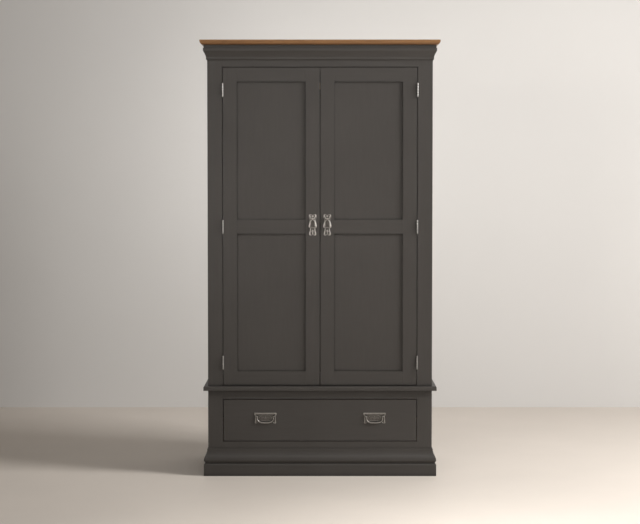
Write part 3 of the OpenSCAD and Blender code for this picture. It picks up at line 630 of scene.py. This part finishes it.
# relief, as (u, v, w, radius) points
TOP_BAR = [(-46.5, 20.2, 1.1, 3.4), (0, 20.6, 1.2, 3.2), (46.5, 20.2, 1.1, 3.4)]
ARCHES = [(-40, -24), (-24, -3), (-3, 18), (18, 40)]     # both feet of each arch under the top bar
POST = [(46.4, 18, 1.1, 2.6), (43.8, 9, 1.1, 2.2), (43.2, -3, 1.1, 2.1), (43.8, -13, 1.2, 2.4), (43.4, -19.8, 1.3, 2.9)]
LEAF = [(5, 12, 0.8, 0.8), (18, 10.5, 0.9, 1.2), (27, 3, 0.9, 1.1), (30, -8, 0.8, 0.7)]
BUD = [(0, 12, 0.9, 0.7), (0, 5, 1.0, 1.9), (0, -6, 0.8, 0.8)]
# right half of the bail, from its pin round to the middle
LOOP_HALF = [(35.4, 8.0, 6.5, 2.7), (35.3, 3.5, 6.5, 2.2), (35.6, -2.0, 6.5, 2.2), (34.2, -8.6, 6.5, 2.5),
             (28.6, -15.4, 6.5, 2.7), (20.0, -19.2, 6.5, 2.8), (10.0, -20.6, 6.5, 2.95), (0.0, -20.9, 6.5, 3.0)]
BRIGHT, DULL = 0, 2          # the plates' materials for their ribs; 1 is for their fields


def drawer_plates():
    plates = Piece("drawer_pull_plates", 0.0, BAIL_Z)
    for centre in (-BAIL_X / MM, BAIL_X / MM):
        outline = [Vector((p.x + centre, p.y)) for p in mirrored(smooth(BAIL_HALF, 4))]
        plates.plate(outline, 0.0, BAIL_RIM)
        plates.rib(TOP_BAR, 0.38, centre, steps=10)
        plates.tone = DULL
        for low, high in ARCHES:
            plates.rib([(low, 12.4, 1.0, 1.0), (low + 2.6, 14.6, 1.0, 0.9), ((low + high) / 2, 16.2, 1.0, 1.0),
                        (high - 2.6, 14.6, 1.0, 0.9), (high, 12.4, 1.0, 1.0)], 0.8, centre)
        for hand in (-1, 1):
            plates.tone = BRIGHT
            plates.rib(POST, 0.5, centre, hand)
            plates.tone = DULL
            plates.rod(spiral(centre + hand * 12.5, -1.5, 0.8, outer=9.0, inner=1.6, start=3.5, turn=-6.4,
                              thick=1.3, thin=0.6, hand=hand), flat=0.7)
            plates.rib(LEAF, 0.7, centre, hand)
            plates.tone = BRIGHT
            low, high = sorted((centre + hand * 39.0, centre + hand * 44.0))
            outline = ear(BAIL_PIVOT, BAIL_AXIS, foot=(0.5, 4.5), shoulder=(4.4, 4.1), radius=3.3)
            plates.slab(outline, low, high, edge=0.8)
            plates.screw_head(centre + hand * 33.0, 20.4, 2.05, radius=2.0, turn=0.4 + hand + centre)
        plates.tone = DULL
        plates.rib(BUD, 0.6, centre)
        plates.tone = BRIGHT
    plates.done([pewter_drawer_shaded, pewter_field, pewter_dull], "drawer", "pewter", "drawer_handle_plates")


def drawer_bail(side, name):
    bail = Piece(name + "_pull_bail", side * BAIL_X, BAIL_Z)
    for hand in (-1, 1):
        bail.rod([(hand * u, BAIL_PIVOT, BAIL_AXIS, 1.4) for u in (36.0, 42.6)])
    bail.rod(smooth([(-u, v, w, radius) for u, v, w, radius in LOOP_HALF] + LOOP_HALF[-2::-1], 5), sides=18)
    bail.done([pewter_drawer_shaded], name + "_bail", "pewter", name + "_bail_handle")


drawer_plates()
for side, name in SIDES:
    drawer_bail(side, name)


# ---------------------------------------------------------------- stage, lights and camera

def stage_sheet(name, corners, material):
    """A flat sheet for the floor or the wall, which isn't part of the object."""
    mesh = bpy.data.meshes.new(name)
    mesh.from_pydata([Vector(c) for c in corners], [], [(0, 1, 2, 3)])
    mesh.materials.append(material)
    obj = bpy.data.objects.new(name, mesh)
    scene.collection.objects.link(obj)


def one_sided(material):
    """Lets light and sight through from behind, so that the wall hides nothing in the views from the back."""
    tree = material.node_tree
    output = next(n for n in tree.nodes if n.type == "OUTPUT_MATERIAL")
    front = output.inputs[0].links[0].from_socket
    mix = tree.nodes.new("ShaderNodeMixShader")
    clear = tree.nodes.new("ShaderNodeBsdfTransparent")
    side = tree.nodes.new("ShaderNodeNewGeometry")
    tree.links.new(side.outputs["Backfacing"], mix.inputs[0])
    tree.links.new(front, mix.inputs[1])
    tree.links.new(clear.outputs[0], mix.inputs[2])
    tree.links.new(mix.outputs[0], output.inputs[0])
    return material


FLOOR_COLOR, WALL_COLOR = (0.69, 0.628, 0.568), (0.64, 0.625, 0.610)
REACH = 14.0                 # how far the floor and the wall go to each side
WALL_HEIGHT = 6.0
WALL_BACK = 2.34             # from the doors
wall_y = front_y + WALL_BACK
stage_sheet("floor", [(-REACH, -REACH, 0), (REACH, -REACH, 0), (REACH, REACH, 0), (-REACH, REACH, 0)],
            plain_surface("pale_floor", FLOOR_COLOR, spread=0.04, scale=2.0, rough=0.55))
stage_sheet("wall", [(-REACH, wall_y, 0), (REACH, wall_y, 0), (REACH, wall_y, WALL_HEIGHT),
                     (-REACH, wall_y, WALL_HEIGHT)],
            one_sided(plain_surface("pale_wall", WALL_COLOR, spread=0.03, scale=0.7, rough=0.9)))


def area_light(name, place, target, size, power, color, spread):
    """A square soft box aimed at target; spread, in degrees, is how far its fabric grid lets light fan out."""
    data = bpy.data.lights.new(name, "AREA")
    data.spread = math.radians(spread)
    data.shape, data.size, data.energy, data.color = "SQUARE", size, power, color
    obj = bpy.data.objects.new(name, data)
    obj.location = place
    obj.rotation_euler = (Vector(target) - Vector(place)).to_track_quat("-Z", "Y").to_euler()
    obj.visible_camera = False
    scene.collection.objects.link(obj)


# name, place, target, size (m), power (W), colour, spread (degrees)
LIGHTS = [
    ("key", (3.6, -1.5, 2.7), (0.0, front_y, 1.2), 1.6, 240.0, (1.0, 0.99, 0.972), 180.0),
    ("top", (0.0, -3.4, 5.0), (0.0, -1.0, 0.0), 3.0, 36.0, (1.0, 0.955, 0.90), 180.0),
    ("fill_left", (-2.6, -5.5, 1.8), (0.0, front_y, 1.25), 1.2, 2.0, (1.0, 0.965, 0.92), 24.0),
    ("fill_front", (0.5, -8.5, 2.8), (0.0, front_y, 1.5), 1.5, 0.9, (1.0, 0.975, 0.94), 30.0),
    ("floor_light", (0.5, -1.9, 3.2), (0.5, -1.9, 0.0), 0.8, 5.5, (1.0, 0.99, 0.98), 50.0),
    ("wall_light", (-0.15, 0.62, 1.50), (-0.15, wall_y, 1.55), 0.6, 5.0, (1.0, 0.99, 0.975), 140.0),
]
for light in LIGHTS:
    area_light(*light)

WORLD_COLOR, WORLD_STRENGTH = (1.0, 0.93, 0.84, 1.0), 0.14
world = bpy.data.worlds.new("room")
scene.world = world
world.use_nodes = True
background = world.node_tree.nodes["Background"]
background.inputs["Color"].default_value = WORLD_COLOR
background.inputs["Strength"].default_value = WORLD_STRENGTH

CAMERA_BACK = 7.90           # from the doors
CAMERA_HEIGHT = 1.343
CAMERA_TILT = math.radians(2.80)     # downwards
CAMERA_LENS, CAMERA_SENSOR = 99.93, 36.0
camera_data = bpy.data.cameras.new("camera")
camera_data.sensor_width = CAMERA_SENSOR
camera_data.lens = CAMERA_LENS
camera = bpy.data.objects.new("camera", camera_data)
camera.location = (0.0, front_y - CAMERA_BACK, CAMERA_HEIGHT)
camera.rotation_euler = (math.pi / 2 - CAMERA_TILT, 0.0, 0.0)
scene.collection.objects.link(camera)
scene.camera = camera
